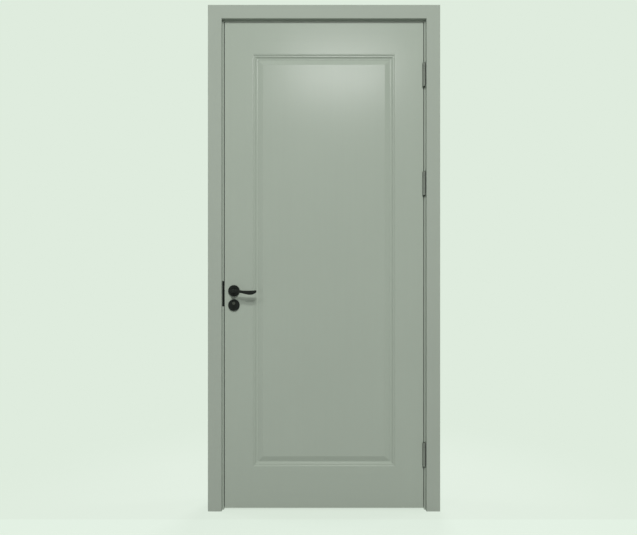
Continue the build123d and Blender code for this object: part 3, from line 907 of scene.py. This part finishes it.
@dataclass
class Screw:
    """A countersunk screw with a cross recess, seated flush in a plate."""

    head: float = 0.0038
    proud: float = 0.00012
    recess_depth: float = 0.0011
    recess_taper: float = 0.7
    arm: float = 0.0021
    arm_half: float = 0.00055
    rim_share: float = 0.95
    rim_drop: float = 0.00014
    shank_share: float = 0.72
    shank_drop: float = 0.0016
    sides: int = 24

    def add(self, bm: bmesh.types.BMesh, spot: Vector, outward: Vector, turn: float) -> None:
        """Add one screw.

        Args:
            bm: The bmesh of the plate's screws.
            spot: Middle of its head on the plate's face.
            outward: Normal of the face.
            turn: How far the recess is turned, in degrees.
        """
        a, b = self.arm, self.arm_half
        cross = [(b, b), (b, a), (-b, a), (-b, b), (-a, b), (-a, -b)]
        cross += [(-x, -y) for x, y in cross]
        inner = [bm.verts.new((x, y, self.proud)) for x, y in cross]
        recess = bm.faces.new(inner)
        rim = bmesh.ops.create_circle(
            bm,
            cap_ends=False,
            radius=self.head * self.rim_share,
            segments=self.sides,
            matrix=Matrix.Translation((0, 0, self.proud)),
        )["verts"]
        rim_edges = list({edge for vert in rim for edge in vert.link_edges})
        bmesh.ops.bridge_loops(bm, edges=list(recess.edges) + rim_edges)
        sunk = bmesh.ops.extrude_discrete_faces(bm, faces=[recess])["faces"][0]
        bmesh.ops.scale(bm, vec=(self.recess_taper, self.recess_taper, 1.0), verts=sunk.verts[:])
        bmesh.ops.translate(bm, vec=(0.0, 0.0, -self.recess_depth), verts=sunk.verts[:])
        ring = rim_edges
        for scale, drop in ((1.0 / self.rim_share, self.rim_drop), (self.shank_share, self.shank_drop)):
            made = bmesh.ops.extrude_edge_only(bm, edges=ring)["geom"]
            verts = [item for item in made if isinstance(item, bmesh.types.BMVert)]
            bmesh.ops.scale(bm, vec=(scale, scale, 1.0), verts=verts)
            bmesh.ops.translate(bm, vec=(0.0, 0.0, -drop), verts=verts)
            edges = [item for item in made if isinstance(item, bmesh.types.BMEdge)]
            ring = [edge for edge in edges if set(edge.verts) <= set(verts)]
        matrix = Matrix.Translation(spot) @ outward.to_track_quat("Z", "Y").to_matrix().to_4x4()
        matrix = matrix @ Matrix.Rotation(math.radians(turn), 4, "Z")
        bmesh.ops.transform(bm, matrix=matrix, verts=list(_island(inner[0])))


@dataclass
class PlateScrews:
    """The screws of one plate, each turned further than the last."""

    name: str
    node: str
    spots: tuple[Point, ...]
    outward: Point
    screw: Screw = field(default_factory=Screw)
    first_turn: float = 17.0
    further_turn: float = 53.0

    def build(self, door: Door) -> bpy.types.Object:
        """Seat every screw of the plate.

        Args:
            door: The loaded door.

        Returns:
            The screws as one piece.
        """
        bm = bmesh.new()
        for number, spot in enumerate(self.spots):
            turn = self.first_turn + self.further_turn * number
            self.screw.add(bm, Vector(spot), Vector(self.outward), turn)
        piece = shape_piece(self.name, bm, door.finish(self.node), sharp=25.0)
        door.carry(piece, self.node)
        return piece


@dataclass
class ButtHinge:
    """A butt hinge: two flaps with rolled knuckles, ring lines, a capped pin and its screws."""

    name: str
    barrel: float = 0.0065
    bore: float = 0.00356
    plate: float = 0.0025
    plate_ease: float = 0.0003
    reach: float = 0.0015
    lap: float = 0.001
    gap: float = 0.0001
    ring_depth: float = 0.0026
    ring_half: float = 0.0012
    ring_floor_share: float = 0.85
    chamfer: float = 0.0008
    rings: tuple[float, ...] = (0.033, 0.024)
    screw_rows: tuple[Pair, ...] = (
        (0.011, 0.040),
        (0.020, 0.014),
        (0.011, -0.014),
        (0.020, -0.040),
    )
    shaft: float = 0.0035
    cap: float = 0.0052
    cap_chamfer: Pair = (0.0012, 0.0009)
    tip_rise: float = 0.0008
    tip_shoulder: Pair = (0.0006, 0.0005)
    tip_crown: float = 0.0018
    barrel_facets: int = 40
    pin_facets: int = 32
    sharp: float = 40.0

    def build(self, door: Door) -> None:
        """Make the two flaps, the pin and the screws.

        Args:
            door: The loaded door.
        """
        low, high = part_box(f"{self.name}_hinge_pin")
        axis = (low + high) / 2
        low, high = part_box(f"{self.name}_hinge_frame_leaf")
        end = (high.z - low.z) / 2
        split = self._split(door, axis)
        self._flap(door, "frame", axis, ((-end, -split), (split, end)), end)
        self._flap(door, "door", axis, ((self.gap - split, split - self.gap),), end)
        self._pin(door, axis, end)

    def _split(self, door: Door, axis: Vector) -> float:
        """Read where the knuckles part from the flap that carries the middle one.

        Args:
            door: The loaded door.
            axis: Middle of the pin.

        Returns:
            Half the length of the middle knuckle with its gap.
        """
        mesh = door.frame["nodes"][f"{self.name}_hinge_door_leaf"].data
        rounds = [abs(vert.co.z - axis.z) for vert in mesh.vertices if vert.co.y < axis.y]
        return max(rounds) + self.gap

    def _flap(self, door: Door, side: str, axis: Vector, knuckles: tuple[Pair, ...], end: float) -> None:
        """Make one flap with its knuckles and screws.

        Args:
            door: The loaded door.
            side: "frame" or "door".
            axis: Middle of the pin.
            knuckles: Ends of each knuckle from the middle.
            end: Half the hinge's length.
        """
        node = f"{self.name}_hinge_{side}_leaf"
        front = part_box("hinge_stile")[0].y
        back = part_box(node)[1].y
        inner = axis.x + self.reach if side == "frame" else axis.x - self.reach - self.plate
        outer = inner + self.plate
        bm = bmesh.new()
        add_block(bm, (inner, front, axis.z - end), (outer, back, axis.z + end), self.plate_ease)
        for start, stop in knuckles:
            root = (inner, axis.y, axis.z + start)
            add_block(bm, root, (outer, front + self.lap, axis.z + stop), self.plate_ease)
            spin_profile(bm, self._knuckle(start, stop), Matrix.Translation(axis), self.barrel_facets)
        piece = shape_piece(f"{node}_rolled", bm, door.finish(node), self.sharp)
        even_normals(piece)
        door.stand_for(piece, node)
        face = inner if side == "frame" else outer
        outward = (-1.0, 0.0, 0.0) if side == "frame" else (1.0, 0.0, 0.0)
        spots = tuple((face, front + depth, axis.z + height) for depth, height in self.screw_rows)
        PlateScrews(f"{node}_screws", node, spots, outward).build(door)

    def _knuckle(self, start: float, stop: float) -> list[Pair]:
        """Draw the section of one knuckle, with the ring lines that fall in it.

        Args:
            start: Lower end of the knuckle from the hinge's middle.
            stop: Its upper end.

        Returns:
            Radii and heights.
        """
        edge = self.chamfer
        margin = edge + 2.0 * self.ring_half
        floor = self.barrel - self.ring_depth
        floor_half = self.ring_floor_share * self.ring_half
        profile = [(self.bore, start), (self.barrel - edge, start), (self.barrel, start + edge)]
        for height in sorted(self.rings):
            if start + margin < height < stop - margin:
                profile.append((self.barrel, height - self.ring_half))
                profile.append((floor, height - floor_half))
                profile.append((floor, height + floor_half))
                profile.append((self.barrel, height + self.ring_half))
        profile += [(self.barrel, stop - edge), (self.barrel - edge, stop), (self.bore, stop)]
        return profile

    def _pin(self, door: Door, axis: Vector, end: float) -> None:
        """Make the pin with a domed top and a wider dark cap below.

        Args:
            door: The loaded door.
            axis: Middle of the pin.
            end: Half the hinge's length.
        """
        node = f"{self.name}_hinge_pin"
        low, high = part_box(node)
        top = high.z - axis.z
        bottom = low.z - axis.z
        seat = -end - self.gap
        profile = [
            (0.0, bottom),
            (self.cap - self.cap_chamfer[0], bottom),
            (self.cap, bottom + self.cap_chamfer[1]),
            (self.cap, seat),
            (self.shaft, seat),
            (self.shaft, end + self.tip_rise),
            (self.shaft - self.tip_shoulder[0], top - self.tip_shoulder[1]),
            (self.shaft - self.tip_crown, top),
            (0.0, top),
        ]
        bm = bmesh.new()
        spin_profile(bm, profile, Matrix.Translation(axis), self.pin_facets, closed=False)
        piece = shape_piece(f"{node}_capped", bm, door.finish(node), self.sharp)
        door.stand_for(piece, node)


@dataclass
class Ironmongery:
    """The black furniture and the lock's moving pieces."""

    rose_rim: float = 0.0024
    turn_ease: float = 0.0016
    cam_slack: float = 0.00015
    fine_ease: float = 0.0003
    plate_ease: float = 0.0004
    bolt_ease: float = 0.0006
    faceplate_inset: float = 0.009
    strike_inset: float = 0.0085

    def build(self, door: Door) -> None:
        """Make the levers, the roses, the plates with their screws and the eased lock pieces.

        Args:
            door: The loaded door.
        """
        leaf_low, leaf_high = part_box("lock_stile")
        low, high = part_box("front_lever_rose")
        axis = (low + high) / 2
        Lever("front_lever", -1.0, leaf_low.y, axis.x, axis.z).build(door)
        Lever("rear_lever", 1.0, leaf_high.y, axis.x, axis.z).build(door)
        for rose in ("front_lever_rose", "rear_lever_rose", "front_key_rose", "rear_turn_rose"):
            EasedCopy(rose, self.fine_ease, segments=2, rim=self.rose_rim).build(door)
        EasedCopy("thumb_turn", self.turn_ease, segments=4).build(door)
        EasedCopy("cylinder_cam", self.plate_ease, segments=2, slack=self.cam_slack).build(door)
        for node, ease in (
            ("lock_faceplate", self.plate_ease),
            ("strike_plate", self.plate_ease),
            ("latch_bolt", self.bolt_ease),
            ("deadbolt", self.bolt_ease),
            ("cylinder_body", self.fine_ease),
            ("key_plug", self.fine_ease),
        ):
            EasedCopy(node, ease, segments=2).build(door)
        self._screws(door, (leaf_low.y + leaf_high.y) / 2)

    def _screws(self, door: Door, middle: float) -> None:
        """Seat the screws of the faceplate and the strike.

        Args:
            door: The loaded door.
            middle: Middle of the leaf's thickness.
        """
        for node, inset, outward in (
            ("lock_faceplate", self.faceplate_inset, -1.0),
            ("strike_plate", self.strike_inset, 1.0),
        ):
            low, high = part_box(node)
            face = low.x if outward < 0 else high.x
            spots = ((face, middle, low.z + inset), (face, middle, high.z - inset))
            PlateScrews(f"{node}_screws", node, spots, (outward, 0.0, 0.0)).build(door)


@dataclass
class Joinery:
    """The painted timber that gets softer edges than the solids have."""

    panel_ease: float = 0.0012
    panel_least: float = 8.0

    def build(self, door: Door) -> None:
        """Soften the arrises of the raised panel."""
        EasedCopy("panel", self.panel_ease, segments=3, least=self.panel_least).build(door)


@dataclass
class Lamp:
    """One soft rectangular lamp aimed at a point."""

    name: str
    spot: Point
    aim: Point
    size: Pair
    watts: float
    gleams: bool = False

    def build(self) -> None:
        """Hang the lamp and turn it to its aim."""
        data = bpy.data.lights.new(self.name, "AREA")
        data.shape = "RECTANGLE"
        data.size, data.size_y = self.size
        data.energy = self.watts
        lamp = bpy.data.objects.new(self.name, data)
        lamp.visible_glossy = self.gleams
        lamp.location = self.spot
        lamp.rotation_euler = (Vector(self.aim) - Vector(self.spot)).to_track_quat("-Z", "Y").to_euler()
        bpy.context.scene.collection.objects.link(lamp)
        LOG.info("lamp %s", self.name)


@dataclass
class Studio:
    """The pale room round the door: floor, world, lamps and camera."""

    wall_tint: Colour = (0.738, 0.838, 0.730)
    floor_tint: Colour = (0.768, 0.880, 0.768)
    floor_dull: Colour = (0.76, 0.815, 0.76)
    floor_pale: Colour = (0.80, 0.85, 0.80)
    floor_grain: Speckle = Speckle(3.0, 3.0)
    floor_size: float = 14.0
    floor_edge: float = -0.146
    edge_blur: float = 0.01
    soft_tint: Colour = (0.97, 1.0, 0.97)
    soft_light: float = 0.10
    bounce_tint: Colour = (0.40, 0.41, 0.40)
    shadow_share: float = 0.22
    shadow_full: float = 0.55
    shadow_end: float = 1.7
    lamp_aim: Point = (0.0, 0.0, 0.9)
    eye: Point = (0.0, -2.7615, 1.02)
    lens: float = 36.5
    sensor: float = 36.0
    shift: float = -0.0087

    def build(self) -> None:
        """Make the floor, the world, the lamps and the camera."""
        self._floor()
        self._world()
        self._lamps()
        self._camera()

    def _floor(self) -> None:
        """Lay a wide pale floor that keeps a soft shadow near the door and runs into the wall's tint."""
        bm = bmesh.new()
        bmesh.ops.create_grid(bm, x_segments=1, y_segments=1, size=self.floor_size)
        mesh = bpy.data.meshes.new("floor")
        bm.to_mesh(mesh)
        bm.free()
        mesh.materials.append(self._floor_finish())
        floor = bpy.data.objects.new("floor", mesh)
        bpy.context.scene.collection.objects.link(floor)
        LOG.info("floor")

    def _floor_finish(self) -> bpy.types.Material:
        """Build the floor's finish: its own tint to the camera, and a duller one to other light.

        Returns:
            The finish.
        """
        net = Net.material("pale_floor")
        place = net.place()
        grain = net.noise(place, self.floor_grain)
        reach = net.add("ShaderNodeVectorMath", {"operation": "LENGTH"}, {0: place}, "Value")
        near = net.spread(reach, self.shadow_full, self.shadow_end, 1.0, 0.0)
        depth = net.add("ShaderNodeSeparateXYZ", None, {0: place}, "Y")
        edge, blur = self.floor_edge, self.edge_blur
        front = net.spread(depth, edge + blur, edge - blur, 0.0, 1.0)
        tint = net.mix(front, tone(self.wall_tint), tone(self.floor_tint))
        seen = net.seen()
        pale = net.mix(grain, tone(self.floor_dull), tone(self.floor_pale))
        lit_tint = net.mix(seen, tone(self.bounce_tint), pale)
        lit = net.add("ShaderNodeBsdfDiffuse", None, {"Color": lit_tint})
        flat = net.add("ShaderNodeEmission", None, {"Color": tint, "Strength": 1.0})
        share = seen * (1.0 - self.shadow_share * near)
        mixed = net.add("ShaderNodeMixShader", None, {0: share, 1: lit, 2: flat})
        net.add("ShaderNodeOutputMaterial", None, {"Surface": mixed})
        return net.owner

    def _world(self) -> None:
        """Show a pale wall to the camera and to gloss, and a dimmer soft light to the rest."""
        net = Net(bpy.data.worlds.new("pale_room"))
        bpy.context.scene.world = net.owner
        soft_sockets = {"Color": tone(self.soft_tint), "Strength": self.soft_light}
        soft = net.add("ShaderNodeBackground", None, soft_sockets)
        shown = net.add("ShaderNodeBackground", None, {"Color": tone(self.wall_tint), "Strength": 1.0})
        mixed = net.add("ShaderNodeMixShader", None, {0: net.seen(), 1: soft, 2: shown})
        net.add("ShaderNodeOutputWorld", None, {"Surface": mixed})

    def _lamps(self) -> None:
        """Hang three ceiling lamps and a weak left lamp in front, and one behind and on either side."""
        aim = self.lamp_aim
        for lamp in (
            Lamp("ceiling_far", (1.4, -12.5, 12.4), aim, size=(1.5, 1.5), watts=915.0),
            Lamp("ceiling_mid", (1.0, -12.0, 8.29), aim, size=(1.3, 1.3), watts=800.0),
            Lamp("ceiling_near", (0.12, -2.2, 2.5), aim, size=(0.75, 0.3), watts=6.9, gleams=True),
            Lamp("left_lamp", (-1.64, -2.63, 2.5), aim, size=(0.4, 0.4), watts=10.5),
            Lamp("room_behind", (0.6, 3.4, 2.6), aim, size=(1.4, 1.4), watts=92.0),
            Lamp("side_left", (-4.0, 0.9, 1.9), aim, size=(1.2, 1.2), watts=58.0),
            Lamp("side_right", (4.0, 0.9, 1.9), aim, size=(1.2, 1.2), watts=58.0),
        ):
            lamp.build()

    def _camera(self) -> None:
        """Set the camera level in front of the leaf, at the photograph's framing."""
        data = bpy.data.cameras.new("eye")
        data.lens = self.lens
        data.sensor_width = self.sensor
        data.shift_x = self.shift
        data.dof.use_dof = False
        camera = bpy.data.objects.new("eye", data)
        camera.location = self.eye
        camera.rotation_euler = (math.pi / 2, 0.0, 0.0)
        bpy.context.scene.collection.objects.link(camera)
        bpy.context.scene.camera = camera
        bpy.context.scene.view_settings.view_transform = "Standard"


def main() -> None:
    """Load the door, dress it and set the studio."""
    logging.basicConfig(level=logging.INFO, format="%(name)s: %(message)s")
    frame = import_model()
    door = Door(frame, Finishes())
    door.dress_nodes()
    Joinery().build(door)
    Ironmongery().build(door)
    for name in ("top", "middle", "bottom"):
        ButtHinge(name).build(door)
    Studio().build()


if __name__ == "__main__":
    main()
